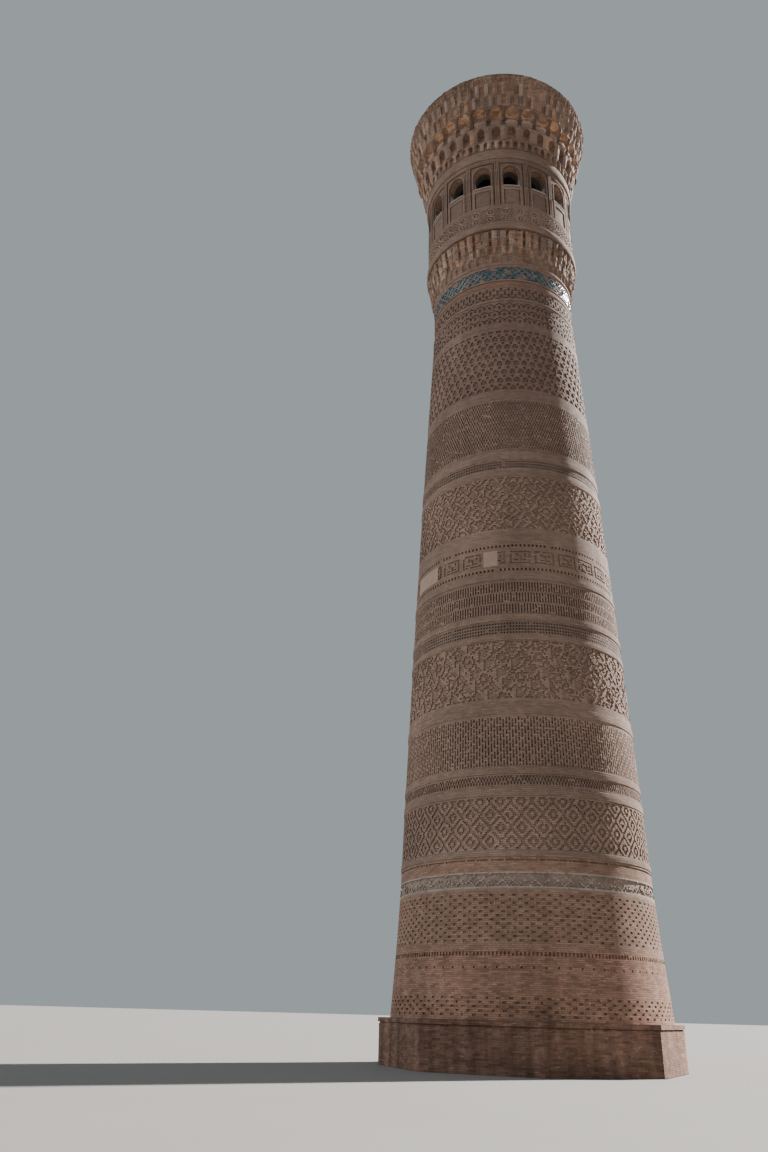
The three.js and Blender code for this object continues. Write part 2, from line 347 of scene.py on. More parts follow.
class Quads:
    """Collects points, the quads between them, the places of the quads' corners in the brickwork and the
    names of their looks."""

    def __init__(self, *points):
        self.points, self.corners, self.uv, self.looks = list(points), [], [], []

    def add(self, corners, u, v, look):
        """u and v have four places, or two: u those of the left and right side, v those of the lower and
        upper."""
        u = u if len(u) == 4 else [u[0], u[1], u[1], u[0]]
        v = v if len(v) == 4 else [v[0], v[0], v[1], v[1]]
        corners = np.broadcast_arrays(*corners)
        u, v = ([np.broadcast_to(place, corners[0].shape) for place in places] for places in (u, v))
        corners, u, v = (np.stack(parts, -1).reshape(-1, 4) for parts in (corners, u, v))
        self.corners.append(corners)
        self.uv.append(np.stack([u, v], -1))
        self.looks.append(np.broadcast_to(look, corners.shape[:1]))

    def add_points(self, corners, u, v, look):
        """Adds quads whose corners are given as points."""
        corners = [np.atleast_2d(corner) for corner in corners]
        count, size = sum(map(len, self.points)), len(corners[0])
        self.points += corners
        self.add([count + index * size + np.arange(size) for index in range(4)], u, v, look)

    def fan(self, centre, line):
        """Arcade brick as triangles from a centre to each step of a line of points."""
        a, b = line[:-1], line[1:]
        corners = [np.broadcast_to(centre, a.shape), a, b, b]
        u, v = ([corner[:, axis] / COURSE for corner in corners] for axis in (0, 1))
        self.add_points(corners, u, v, "arcade_brick")


def make_piece(name, node, made):
    """A piece from its quads. Points that coincide become one, and a quad that loses corners by that becomes
    a triangle or nothing."""
    points, quads, uv, looks = map(np.concatenate, (made.points, made.corners, made.uv, made.looks))
    grid = np.round(points / WELD).astype(np.int64)
    _, first, same = np.unique(grid, axis=0, return_index=True, return_inverse=True)
    quads = same.ravel()[quads]
    kept = quads != np.roll(quads, 1, axis=1)
    solid = kept.sum(axis=1) > 2
    quads, uv, looks, kept = quads[solid], uv[solid], looks[solid], kept[solid]
    sides = kept.sum(axis=1)
    used, index = np.unique(quads[kept], return_inverse=True)
    look_names, looks = np.unique(looks, return_inverse=True)
    mesh = bpy.data.meshes.new(name)
    mesh.vertices.add(len(used))
    mesh.vertices.foreach_set("co", (points[first][used] * SCALE).astype(np.float32).ravel())
    mesh.loops.add(len(index))
    mesh.loops.foreach_set("vertex_index", index.astype(np.int32).ravel())
    mesh.polygons.add(len(sides))
    mesh.polygons.foreach_set("loop_start", (np.cumsum(sides) - sides).astype(np.int32))
    mesh.polygons.foreach_set("material_index", looks.astype(np.int32))
    layer = mesh.uv_layers.new(name="courses")
    layer.data.foreach_set("uv", uv[kept].astype(np.float32).ravel())
    mesh.shade_flat()
    mesh.update(calc_edges=True)
    for look in look_names:
        mesh.materials.append(LOOKS[look])
    piece = put_in_scene(name, mesh)
    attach(piece, "root")
    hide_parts(node)


def bore_line(node, bore):
    """The (height, radius) outline of a bore, which may be given as one radius from the node's foot to its
    top."""
    return bore if isinstance(bore, list) else [(corner.z / SCALE, bore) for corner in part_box(node)]


def close_ring(made, outer, last, columns, bore, across, looks, inside):
    """Adds a ring's underside, top and bore. outer gives the point of a row and column of the outer face,
    whose points come before the bore's."""
    base = len(made.points[0])

    def inner(ring, col):
        return base + ring * columns + col % columns

    c, d, top = np.arange(columns), np.arange(1, columns + 1), len(bore) - 1
    u = across[c], across[d]
    made.add([inner(0, c), inner(0, d), outer(0, d), outer(0, c)], u, (-BED, 0), looks[0])
    made.add([outer(last, c), outer(last, d), inner(top, d), inner(top, c)], u, (0, BED), looks[-1])
    for ring, ((low, _), (high, _)) in enumerate(zip(bore, bore[1:])):
        made.add([inner(ring, d), inner(ring, c), inner(ring + 1, c), inner(ring + 1, d)], u[::-1],
                 (low / COURSE, high / COURSE), inside)


# A bore takes the dark inner brick unless told otherwise: painted shade where little light reaches.
def cell_ring(name, node, turns, heights, radii, courses, levels, looks, bore, slot="brick", depths=DEPTHS,
              corner=1.0, across=None, rough=0.003, inside="inner_brick"):
    """A ring of brickwork as rows of cells. turns are the angles between columns, heights, radii and courses
    belong to the edges between rows, and levels says how deep each cell lies. corner stretches the radius at
    each turn, across is where each column's edge lies in the brickwork, and rough is how unevenly the rows
    with a pattern are laid."""
    rows, columns = levels.shape
    used, levels = np.unique(levels, return_inverse=True)
    depths, levels = depths[used], levels.reshape(rows, columns)
    bore, kinds = bore_line(node, bore), len(depths)
    across = np.arange(columns + 1.0) if across is None else across
    uneven = random.normal(0.0, rough, (rows + 1, columns))
    plain = np.array([True, *(levels == 0).all(axis=1), True])
    uneven[plain[1:] | plain[:-1]] = 0.0
    edge, column, level = np.indices((rows + 1, columns, kinds))
    radius = (radii[edge] - depths[level] + uneven[edge, column]) * np.broadcast_to(corner, columns)[column]
    outside = ring_points(radius, turns[column], heights[edge]).reshape(-1, 3)

    def outer(row, col, deep=0):
        return (row * columns + col % columns) * kinds + deep

    made = Quads(outside, *(ring_points(radius, turns, height) for height, radius in bore))
    i, j = np.indices((rows, columns))
    made.add([outer(i + up, j + on, levels) for up, on in CORNERS], (across[j], across[j + 1]),
             (courses[i], courses[i + 1]), looks.ravel())

    # The small faces between neighbours of different depth: beside each other, and over each other.
    wide = 2 * np.pi * radii.mean() / columns
    beside = (levels, looks), (np.roll(levels, -1, 1), np.roll(looks, -1, 1))
    over = (levels[:-1], looks[:-1]), (levels[1:], looks[1:])
    for step in range(kinds - 1):
        for pair, offsets in ((beside, ((0, 1, 0), (0, 1, 1), (1, 1, 1), (1, 1, 0))),
                              (over, ((1, 0, 0), (1, 1, 0), (1, 1, 1), (1, 0, 1)))):
            for (near, near_looks), (far, _), sign in ((*pair, -1), (*pair[::-1], 1)):
                r, c = np.nonzero((near <= step) & (far > step))
                corners = [outer(r + up, c + on, step + deep) for up, on, deep in offsets]
                u, v = (across[c], across[c + 1]), (courses[r], courses[r + 1])
                sunk = sign * depths[step:step + 2, None]
                if pair is beside:
                    u = u[1] + sunk / wide
                else:
                    v = v[1] + sunk / COURSE
                made.add(corners[::-sign], u, v[::-sign], near_looks[r, c])

    close_ring(made, outer, rows, columns, bore, across, looks, inside)
    make_piece(name, node, made)


Zone = namedtuple("Zone", "top courses pattern look foot_out top_out", defaults=(None, None, 0.0, 0.0))


def moulding(foot, top, edge, out=0.028, before=1, after=1, looks=(None, "brick", None)):
    """A rounded band that stands out from the wall, between so many plain courses before it and after it."""
    tall = top - foot
    shares = ((0.0, 0.0), (0.05, 0.85), (0.5, 1.0), (0.95, 0.85), (1.0, 0.0))
    return [Zone(foot, before, None, looks[0]),
            *(Zone(foot + end * tall, (end - start) * tall / COURSE, None, looks[1], out * low, out * high)
              for (start, low), (end, high) in zip(shares, shares[1:])),
            Zone(edge, after, None, looks[2])]


def drum(node, columns, zones, radius=shaft_radius, bore=WELL_RADIUS, look="brick", slot="brick", **settings):
    """A ring of masonry from its zones, foot to top. A zone with a pattern has one row of cells for each
    course, and one that names no look has the drum's."""
    heights, outs, courses, levels, looks = [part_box(node)[0].z / SCALE], [zones[0].foot_out], [0.0], [], []
    for zone in zones:
        count = zone.courses if zone.pattern else 1
        start = heights[-1]
        for row in range(1, count + 1):
            share = row / count
            heights.append(start + share * (zone.top - start))
            outs.append(zone.foot_out + share * (zone.top_out - zone.foot_out))
            courses.append(courses[-1] + zone.courses / count)
        y, x = np.indices((count, columns))
        cells = zone.pattern(x, y) if zone.pattern else np.full((count, columns), RAISED)
        cells, painted = cells if isinstance(cells, tuple) else (cells, [])
        cells = np.where(random.random(cells.shape) < FILLED, RAISED, cells)
        face = zone.look or look
        # Sunk cells take a darker look: painted shade in the hollows, with some dirt.
        zone_looks = np.where(cells > RAISED, SUNK_LOOKS.get(face, face), face).astype(LOOK_NAME)
        # The darker paint of mortar and shade goes only on sunk cells.
        for paint, where in painted:
            zone_looks[where & ((paint != "recess") | (cells > RAISED))] = paint
        levels.append(cells)
        looks.append(zone_looks)
    heights = np.array(heights)
    levels, looks = np.concatenate(levels), np.concatenate(looks)
    cell_ring(node + "_brickwork", node, turn_at(np.arange(columns), columns), heights,
              radius(heights) + np.array(outs), np.array(courses), levels, looks, bore, slot, **settings)


# Patterns of the brickwork. Each takes the columns x and rows y of a zone's cells and says how deep every
# cell lies, and some also paint cells with looks of their own.

def pattern(cells):
    """Lets a pattern's settings be given before its cells."""
    return lambda *settings, **named: lambda x, y: cells(x, y, *settings, **named)


def holes(where, depth=RECESSED):
    return np.where(where, depth, RAISED)


@pattern
def dot_lattice(x, y, period, wide):
    shift = (y // 2 % 2) * (period // 2)
    return holes((y % 2 == 0) & ((x + shift) % period < wide))


def dashes(x, y):
    return holes(x % 2 == 0)


# Deep dashes whose floors are painted darker: painted shade in the hollows, with dark mortar.
def dark_dashes(x, y):
    return holes(x % 2 == 0, DEEP), [("recess", x % 2 == 0)]


def groove(x, y):
    return np.full(x.shape, RECESSED)


def staggered(x, y, across, up):
    """Each cell's offsets from the nearest point of a staggered lattice."""
    ax, ay = (x + 0.5) % across - across / 2, (y + 0.5) % up - up / 2
    bx, by = (x + 0.5 + across / 2) % across - across / 2, (y + 0.5 + up / 2) % up - up / 2
    first = np.abs(ax) / across + np.abs(ay) / up < np.abs(bx) / across + np.abs(by) / up
    return np.where(first, ax, bx), np.where(first, ay, by)


@pattern
def lozenges(x, y, across, up, start):
    """Nested diamonds on a lattice: a core in a sunk ring, a raised ring, and a sunk line between
    neighbours."""
    px, py = staggered(x + start, y + start, across, up)
    near = 2 * np.abs(px) / across + 2 * np.abs(py) / up
    return holes((near > 0.86) | ((near > 0.2) & (near < 0.5)))


def checked(x, y):
    """Short upright dashes, two courses high and set off by one column from row to row."""
    return holes((x + y // 2) % 2 == 0)


@pattern
def herringbone(x, y, period, shift):
    """Upright slots in every other column, each with a deep foot and one bridge, and shift courses over the
    one before."""
    phase = (y - shift * (x // 2)) % period
    slot = (x % 2 == 0) & (phase < period - 1)
    return np.where(slot, np.where(phase < 2, DEEP, RECESSED), RAISED)


@pattern
def maze(x, y, ring, slant, upright):
    """Raised broken rings on a staggered lattice, six-sided or, at slant 1, diamonds, and short strokes
    between them, one in each wide by tall cells, that lean both ways or stand upright."""
    across, up, wide, tall = 20, 24, 5, 6
    px, py = staggered(x, y, across, up)
    reach = np.maximum(np.abs(px) + slant * np.abs(py), np.abs(py))
    centre = (np.abs(px) < 1.5) & (np.abs(py) < 1)
    ringed = (reach > ring) & (reach < ring + 1.6) & ((x + 2 * y) % 7 > 0)
    moved = x + wide // 2 * (y // tall % 2)
    lean = (moved // wide + y // tall) % (3 if upright else 2)
    climb = np.round(y % tall * wide / tall).astype(int)
    rising, falling = (moved - climb) % wide < 2, (moved + climb) % wide < 2
    stroke = np.where(lean == 0, rising, np.where(lean == 1, falling, moved % wide < 2))
    return holes(~(centre | ringed | ((reach > ring + 2.2) & stroke)))


@pattern
def ribs(x, y, tall):
    """Rows of upright ribs, each row set off by half a rib."""
    between = y % tall == tall - 1
    # The plain course between rows is painted the darker brick: painted shade that offsets the light a flat
    # course catches.
    return holes(((x + y // tall) % 2 == 0) & ~between, DEEP), [("brick", between)]


def small_grid(x, y):
    return holes((x % 2 == 0) & (y % 2 == 0), DEEP)


@pattern
def houndstooth(x, y, across, up):
    """A net of straps round staggered meshes, each a notch with a small hole under it."""
    px, py = staggered(x, y, across, up)
    notch = (np.abs(py - 1) < 2) & (np.abs(px) < 2 - 0.8 * np.maximum(0, py - 1))
    spot = (np.abs(py + 3) < 1) & (np.abs(px) < 1)
    return holes(notch | spot)


@pattern
def eyed_waves(x, y, across, tall):
    """Rows of eyes with a waving groove over each row, set off by half from row to row."""
    row = y % tall
    side = (x + across // 2 * (y // tall % 2)) % across
    eye = (row < 3) & ((np.abs(side - 1.5) < 1) | ((np.abs(side - 5.5) < 1) & (row > 0)))
    wave = row == 4 + np.round(np.sin(2 * np.pi * (side + 0.5) / across))
    return holes(eye | wave)


@pattern
def chain(x, y, link):
    """Straps that cross between tall slots and pairs of short ones, eleven courses high."""
    side, rise = np.abs((x + 0.5) % link - link / 2), np.abs(y - 5)
    slot = (side < 1) & (rise < 3)
    lens = (side < 2) & (y == 0)
    short = (side > link / 2 - 1) & (rise > 1) & (rise < 5)
    return holes(slot | lens | short)


@pattern
def nested_panels(x, y, wide, tall):
    """Framed rectangles filled with short strokes, and plain repairs in place of some."""
    side = x % wide
    near = np.minimum(np.minimum(side, wide - 1 - side), np.minimum(y, tall - 1 - y))
    stroke = ((side + 2 * (y // 3 % 2)) % 4 == 0) | ((y % 3 == 0) & ((side + y) % 5 < 3))
    sunk = (near == 1) | ((near > 2) & stroke)
    away = np.degrees((turn_at(x + 0.5, PANEL_COLUMNS) - CAMERA_AZIMUTH + np.pi) % (2 * np.pi) - np.pi)
    mended = np.any([(away > left) & (away < right) for left, right in REPAIRS], axis=0)
    # Sunk cells are painted the paler brick: painted light that offsets the shade in the hollows.
    return holes(sunk & ~mended), [("pale_brick", sunk), ("repair", mended)]


@pattern
def white_waves(x, y, period, tall):
    """Broken pieces of two thin white waving lines on worn plaster, between white edges."""
    wave = np.abs(x % period - period // 2) * (tall - 3) // (period // 2) + 1
    left = random.random(x.shape) < 0.6
    edge = (y == 0) | (y == tall - 1)
    white = edge | (((y == wave) | (y == tall - 1 - wave)) & left)
    return holes(~edge & ~(white & (y < tall // 2))), [("white_line", white)]


def tile_pattern(x, y):
    """Fields of glazed tile with pale knots between them, lost in places."""
    turn = 2 * np.pi * x / TILE_COLUMNS
    drift = np.sin(9 * turn + 0.4 * y) + 0.8 * np.sin(23 * turn - 0.3 * y) + 0.6 * np.sin(41 * turn + 0.7 * y)
    strap = np.minimum((x + y) % 6, (x - y) % 6) == 0
    star = np.abs(x % 12 - 5.5) + np.abs(y - 6.5) < 3
    lost = drift > 1.35
    pale = (drift < -0.35) & (strap | star)
    levels = np.where(strap | lost, RAISED, RECESSED)
    return levels, [("tile", drift < 1.0), ("dark_tile", ~strap & (drift < 0.1)), ("tile_ground", pale),
                    ("brick", lost)]


def tile_radius(heights):
    return np.interp(heights, [32.97, 33.95, 33.98, 34.1], [3.42, 3.42, 3.46, 3.46])


def strapwork(x, y):
    """A close net of straps with rosettes in it."""
    straps = ((x + y) % 4 == 0) | ((x - y) % 4 == 0)
    near = np.hypot(x % 16 - 7.5, y % 10 - 4.5)
    raised = np.where(near < 4.2, (near > 3.2) | (near < 1.2), straps)
    return holes(~raised, DEEP), [("block_brick", raised)]


# Shaft

def make_shaft():
    drum("shaft_foot", 468, [
        Zone(1.64, 2), Zone(2.2, 9, dot_lattice(6, 2)), Zone(3.04, 13), Zone(3.17, 2, dot_lattice(6, 1)),
        Zone(3.42, 4), Zone(3.54, 2, dashes), Zone(3.6, 1),
    ], look="worn_brick", slot="worn_brick")
    drum("shaft_dotted_band", 468, [
        Zone(3.85, 4), Zone(5.32, 23, dot_lattice(6, 2)), Zone(5.46, 2), Zone(5.52, 1, None, "plaster"),
    ], look="low_brick")
    drum("shaft_plaster_band", 468, [
        Zone(6.04, 10, white_waves(12, 10), "plaster"), Zone(6.39, 6), Zone(6.45, 1, groove), Zone(6.5, 1),
    ], look="low_brick", slot="plaster")
    drum("shaft_lozenge_band", 480, [
        *moulding(6.53, 6.74, 6.78, 0.025),
        Zone(8.53, 27, lozenges(12, 14, 3), "pale_brick"),
        *moulding(8.6, 8.88, 8.97),
    ])
    drum("shaft_herringbone_band", 510, [
        Zone(9.29, 5, checked),
        *moulding(9.35, 9.62, 9.66),
        Zone(11.44, 28, herringbone(6, 2), "pale_brick"),
        *moulding(11.56, 11.86, 12.08, before=2, after=3),
    ])
    drum("shaft_meander_band", 400, [
        Zone(12.16, 1),
        Zone(14.42, 34, maze(ring=3.0, slant=0.5, upright=True), "pale_brick"),
        *moulding(14.46, 14.68, 14.75),
    ])
    drum("shaft_ribbed_band", 480, [
        Zone(15.25, 8, small_grid, "grey_brick"),
        *moulding(15.28, 15.56, 15.6, 0.03, looks=(None, "brick", "grey_brick")),
        Zone(16.98, 21, ribs(7), "pale_brick"),
        *moulding(17.05, 17.3, 17.4, after=2, looks=("grey_brick", "brick", None)),
    ])
    drum("shaft_panel_band", PANEL_COLUMNS, [
        Zone(17.44, 1), Zone(17.54, 1, dark_dashes), Zone(17.68, 2), Zone(18.36, 11, nested_panels(12, 11)),
        Zone(18.5, 2), Zone(18.6, 1, dark_dashes), Zone(19.15, 8),
    ])
    drum("shaft_fret_band", 360, [
        Zone(19.35, 3),
        Zone(21.82, 35, maze(ring=3.8, slant=1.0, upright=False), "pale_brick"),
        *moulding(21.88, 22.22, 22.3),
    ])
    # From here up the drums use the darker upper brick, painted shade for the weaker light from the floor up
    # there.
    drum("shaft_fine_grid_band", 400, [
        Zone(22.64, 5, small_grid, "grey_brick"),
        *moulding(22.7, 23.1, 23.28, after=3, looks=(None, "brick", "dark_brick")),
        Zone(25.82, 34, checked),
        Zone(26.45, 9, None, "dark_brick"),
    ])
    drum("shaft_houndstooth_band", 378, [
        Zone(29.87, 50, houndstooth(6, 14)), Zone(30.35, 7),
    ], look="dark_brick")
    drum("shaft_knot_band", 384, [
        Zone(31.65, 21, eyed_waves(8, 7)),
        *moulding(31.7, 31.84, 31.88, 0.025),
        Zone(32.6, 11, chain(6)),
        *moulding(32.65, 32.9, 32.97, 0.03, looks=("brick", "red_brick", "red_brick")),
    ], look="dark_brick")
    drum("shaft_tile_band", TILE_COLUMNS, [
        Zone(33.05, 1), Zone(33.8, 13, tile_pattern, "tile_ground"), Zone(33.95, 2), Zone(33.98, 1),
        Zone(34.1, 2),
    ], tile_radius, slot="glazed_tile")


# Stalactite tiers

SHARES = np.array([-1, -0.985, -0.9, -0.62, -0.25, 0.25, 0.62, 0.9, 0.985, 1])
FEW_SHARES = np.array([-1, -0.92, -0.5, 0.5, 0.92, 1])
Row = namedtuple("Row", "height radius half depth niche face bulge",
                 defaults=(0.02, 0.0, "brick", "brick", 0.0))


# A bore takes the dark inner brick unless told otherwise: painted shade where little light reaches.
def tier(node, bays, rows, bore, boxy=3.0, rough=0.01, turn=0.0, part="", swing=(1.0,), ragged=0.02,
         inside="inner_brick", plan=SHARES, uneven_heights=0.0):
    """A ring of niches between ribs. Every row says, at its height, how far out the ribs stand, half a
    niche's width as a share of a bay, how deep it is, the looks of the niche and the rib above it, and how
    far the ribs are rounded. Where a row names several looks, each bay takes one. swing deepens the niches by
    turns, and ragged is how unevenly ribs stand. plan gives the points across a niche, and uneven_heights
    shifts each bay's inner rows up or down by up to this share."""
    bore = bore_line(node, bore)
    hollow = (1 - np.abs(plan)**boxy)**(1 / boxy)
    per_bay = len(plan) + 3
    columns = bays * per_bay
    pick = random.random(bays)
    wide = random.uniform(0.8, 1.0, bays)[:, None]
    deep = (np.resize(swing, bays) * random.uniform(0.75, 1.1, bays))[:, None]
    proud = random.normal(0.0, ragged, bays)[:, None]
    ones = np.ones((bays, 1))
    shares, depths = [], []
    for row in rows:
        rib = (0.5 + row.half) / 2
        swell = -row.bulge - proud
        before = np.roll(swell, 1, 0)
        shares.append(np.hstack([-0.5 * ones, -rib * ones, row.half * plan * wide, rib * ones]))
        depths.append(np.hstack([before, 0.7 * before, row.depth * hollow * deep, 0.7 * swell]))
    shares, depths = (np.array(values).reshape(len(rows), columns) for values in (shares, depths))
    bay, place = np.divmod(np.arange(columns), per_bay)
    turns = -np.pi / 2 + turn + 2 * np.pi * (bay + shares) / bays
    uneven = random.normal(0.0, rough, depths.shape)
    uneven[[0, -1]] = 0.0
    faces = np.array([row.radius for row in rows])[:, None]
    heights = np.array([row.height for row in rows])
    in_niche = (place >= 2) & (place < per_bay - 2)
    rib_pick = np.where(place < 2, np.roll(pick, 1)[bay], pick[bay])

    def chosen(look, share):
        names = np.array(look.split())
        return names[(share * len(names)).astype(int)]

    looks = np.array([np.where(in_niche, chosen(row.niche, pick[bay]), chosen(row.face, rib_pick))
                      for row in rows[:-1]])

    tall = heights[-1] - heights[0]
    climb = ((heights - heights[0]) / tall)[:, None]
    lift = random.uniform(-uneven_heights, uneven_heights, bays)[bay] * (in_niche | (place == per_bay - 1))
    levels = heights[0] + tall * climb * (1 + lift * (1 - climb))
    points = ring_points(faces - depths + uneven, turns, levels).reshape(-1, 3)
    bores = [ring_points(radius, turns[end], height)
             for end, (height, radius) in zip([0] * (len(bore) - 1) + [-1], bore)]

    def outer(row, col):
        return row * columns + col % columns

    closed = np.hstack([turns, turns[:, :1] + 2 * np.pi])
    along = (closed * faces.mean() + np.hstack([depths, depths[:, :1]])) / COURSE
    made = Quads(points, *bores)
    i, j = np.indices((len(rows) - 1, columns))
    made.add([outer(i + up, j + on) for up, on in CORNERS], [along[i + up, j + on] for up, on in CORNERS],
             (heights[i] / COURSE, heights[i + 1] / COURSE), looks.ravel())
    close_ring(made, outer, len(rows) - 1, columns, bore, along[0], looks, inside)
    make_piece(node + "_niches" + part, node, made)


def arched(foot, spring, crown, foot_radius, crown_radius, half, depth, niche, hood, face, bulge=0.0, steps=6,
           foot_depth=1.0):
    """Rows of niches whose heads are arches, and whose backs come forward with them. foot_depth is how deep a
    niche is at its foot, as a share of its full depth."""
    def row(height, share, look, deep=1.0):
        radius = foot_radius + (crown_radius - foot_radius) * (height - foot) / (crown - foot)
        return Row(height, radius, half * share + 0.02, depth * share * deep, look, face, bulge)

    rises = [step / steps for step in range(1, steps + 1)]
    return [row(foot, 1.0, niche, foot_depth), row((foot + spring) / 2, 1.0, niche, (1 + foot_depth) / 2),
            row(spring, 1.0, hood),
            *(row(spring + rise * (crown - spring), math.sqrt(1 - rise**2), hood) for rise in rises)]


def slots(foot, top, foot_radius, top_radius, half, depth, niche, head, face, bulge):
    """Rows of square-headed niches that are shallow at the foot."""
    rows = ((0.0, 0.3, niche), (0.45, 0.8, niche), (0.85, 1.0, head), (0.97, 0.2, head))
    return [Row(foot + share * (top - foot), foot_radius + share * (top_radius - foot_radius), half,
                deep * depth, look, face, bulge) for share, deep, look in rows]


def seen_at(angle):
    """How far a tier turns to have a bay's middle this many degrees to the right of the camera's side."""
    return CAMERA_AZIMUTH + math.pi / 2 + math.radians(angle)


# A bore takes the dark inner brick unless told otherwise: painted shade where little light reaches.
def cornice_tier(node, steps, bays, half, depths, backs, fronts, turns, swings, bore, top_rows,
                 inside="inner_brick"):
    """Several staggered rows of slots in one node. steps are the (height, radius) where rows start and
    end."""
    def bore_radius(height):
        return np.interp(height, *np.array(bore).T)

    for index, ((foot, foot_radius), (top, top_radius)) in enumerate(zip(steps, steps[1:])):
        last = index == len(steps) - 2
        rows = slots(foot, top, foot_radius, top_radius, half, depths[index], backs, "brick", fronts, 0.03)
        rows += top_rows if last else [Row(top, top_radius)]
        end = rows[-1].height
        inner = [(foot, bore_radius(foot + 1e-3)), *(place for place in bore if foot < place[0] < end),
                 (end, bore_radius(end - 1e-3))]
        tier(node, bays, rows, inner, turn=turns[index], swing=swings[index], part=f"_{index + 1}",
             ragged=0.03, rough=0.016, inside=inside, plan=FEW_SHARES, uneven_heights=0.4)


def make_lower_cornice():
    bays = 56
    aligned, between = seen_at(6.2), seen_at(6.2 + 180 / bays)
    tier("lower_cornice_first_tier", bays, [
        Row(34.1, 3.43, 0.42, 0.0),
        *arched(34.12, 34.36, 34.55, 3.44, 3.5, 0.44, 0.08, "pale_brick brick red_brick", "pale_brick",
                "pale_brick"),
        Row(34.58, 3.51),
    ], [(34.1, WELL_RADIUS), (34.58, WELL_RADIUS)], turn=between, uneven_heights=0.4)
    tier("lower_cornice_first_tier", bays, [
        *arched(34.58, 34.9, 34.98, 3.53, 3.59, 0.3, 0.11, "brick hood_brick red_brick", "brick",
                "block_brick hood_brick brick pale_brick hood_brick", bulge=0.03, steps=3, foot_depth=0.3),
        Row(35.0, 3.59),
    ], [(34.58, WELL_RADIUS), (35.0, WELL_RADIUS)], turn=aligned, part="_above", swing=(1.2, 0.4, 0.8, 0.5),
         ragged=0.03, plan=FEW_SHARES, uneven_heights=0.5)
    cornice_tier("lower_cornice_second_tier", [(35.0, 3.6), (35.42, 3.655), (35.86, 3.72)], bays, 0.2,
                 (0.1, 0.11), "brick hood_brick pale_brick red_brick",
                 "block_brick hood_brick pale_brick brick hood_brick", (aligned, aligned),
                 [(1.7, 0.5), (1.7, 0.6)], [(35.0, WELL_RADIUS), (35.95, WELL_RADIUS)], [
                     Row(35.88, 3.72, 0.02, 0.0, "shade_brick", "red_brick"),
                     Row(35.9, 3.62, 0.02, 0.0, "shade_brick", "red_brick"),
                     Row(35.95, 3.62)])


def make_crown():
    bays = 32
    aligned, between = seen_at(0.9), seen_at(0.9 + 90 / bays)
    tier("crown_first_tier", 2 * bays, [
        Row(41.28, 3.84, 0.3, 0.0),
        *arched(41.31, 41.64, 41.76, 3.84, 3.9, 0.26, 0.12, "brick red_brick", "shade_brick",
                "block_brick hood_brick brick", bulge=0.05, foot_depth=0.3, steps=3),
        Row(41.8, 3.93),
    ], ROOM_RADIUS, turn=between, swing=(1.0, 0.6), ragged=0.03, uneven_heights=0.3)
    tier("crown_second_tier", bays, [
        *arched(41.8, 42.36, 42.6, 3.93, 4.08, 0.26, 0.3, "hood_brick brick pale_brick", "red_brick",
                "brick hood_brick brick pale_brick", bulge=0.07, foot_depth=0.1, steps=4),
        Row(42.65, 4.12),
    ], ROOM_RADIUS, boxy=4.0, turn=aligned, uneven_heights=0.12)
    blocks, hoods = "block_brick hood_brick pale_brick", "ochre_brick ochre_brick hood_brick"
    tier("crown_third_tier", bays, [
        Row(42.65, 4.12, 0.38, 0.0, "brick", "shade_brick"),
        Row(42.7, 4.08, 0.38, -0.07, "pale_brick", "shade_brick"),
        Row(42.82, 4.1, 0.4, -0.1, "pale_brick block_brick", "shade_brick"),
        Row(42.97, 4.12, 0.4, -0.08, "shade_brick", "shade_brick"),
        Row(43.0, 4.22, 0.44, 0.16, blocks, "shade_brick", 0.03),
        Row(43.16, 4.25, 0.44, 0.28, blocks, "shade_brick", 0.05),
        Row(43.3, 4.28, 0.44, 0.31, "ochre_brick hood_brick ochre_brick", "shade_brick", 0.06),
        Row(43.46, 4.31, 0.41, 0.28, hoods, "shade_brick", 0.06),
        Row(43.6, 4.34, 0.33, 0.18, hoods, "shade_brick brick", 0.05),
        Row(43.7, 4.36, 0.2, 0.06, "ochre_brick hood_brick", "shade_brick brick", 0.03),
        Row(43.75, 4.38),
    ], ROOM_RADIUS, boxy=2.8, turn=aligned, rough=0.02, uneven_heights=0.1)
    cornice_tier("crown_fourth_tier", [(43.75, 4.38), (44.4, 4.53), (45.1, 4.7)], 2 * bays, 0.31, (0.11, 0.1),
                 "red_brick brick hood_brick", "block_brick hood_brick pale_brick brick", (aligned, between),
                 [(1.0, 0.7), (0.7, 1.0)],
                 [(43.75, ROOM_RADIUS), (44.5, ROOM_RADIUS), (44.5, ROOF_RADIUS), (45.1, ROOF_RADIUS)],
                 [Row(45.1, 4.7)], inside="brick")


def make_rim():
    tier("crown_rim", 128, [
        *slots(45.1, 45.42, 4.72, 4.78, 0.34, 0.025, "red_brick brick rim_brick", "brick",
               "rim_brick hood_brick brick", 0.015),
        Row(45.42, 4.79, 0.34, 0.01, "rim_brick hood_brick", "rim_brick brick"),
        Row(45.56, 4.81, 0.02, 0.0, "shade_brick", "shade_brick"),
        Row(45.6, 4.8),
    ], ROOF_RADIUS, inside="brick", plan=FEW_SHARES, ragged=0.012, uneven_heights=0.3)


# Gallery

def round_moulding(node, foot, top, radius, out, bore_radius, columns=256, steps=8):
    """A plain ring whose outline is half round and stands out from radius."""
    middle, half = (foot + top) / 2, (top - foot) / 2
    heights = middle - half * np.cos(np.pi * np.arange(steps + 1) / steps)
    radii = radius + out * np.sqrt(np.maximum(0.0, 1 - ((heights - middle) / half)**2))
    zones = [Zone(height, (height - before) / COURSE) for before, height in zip(heights, heights[1:])]
    drum(node, columns, zones, lambda height: np.interp(height, heights, radii), bore_radius,
         across=np.linspace(0, 2 * np.pi * radii.mean() / COURSE, columns + 1), rough=0.002)


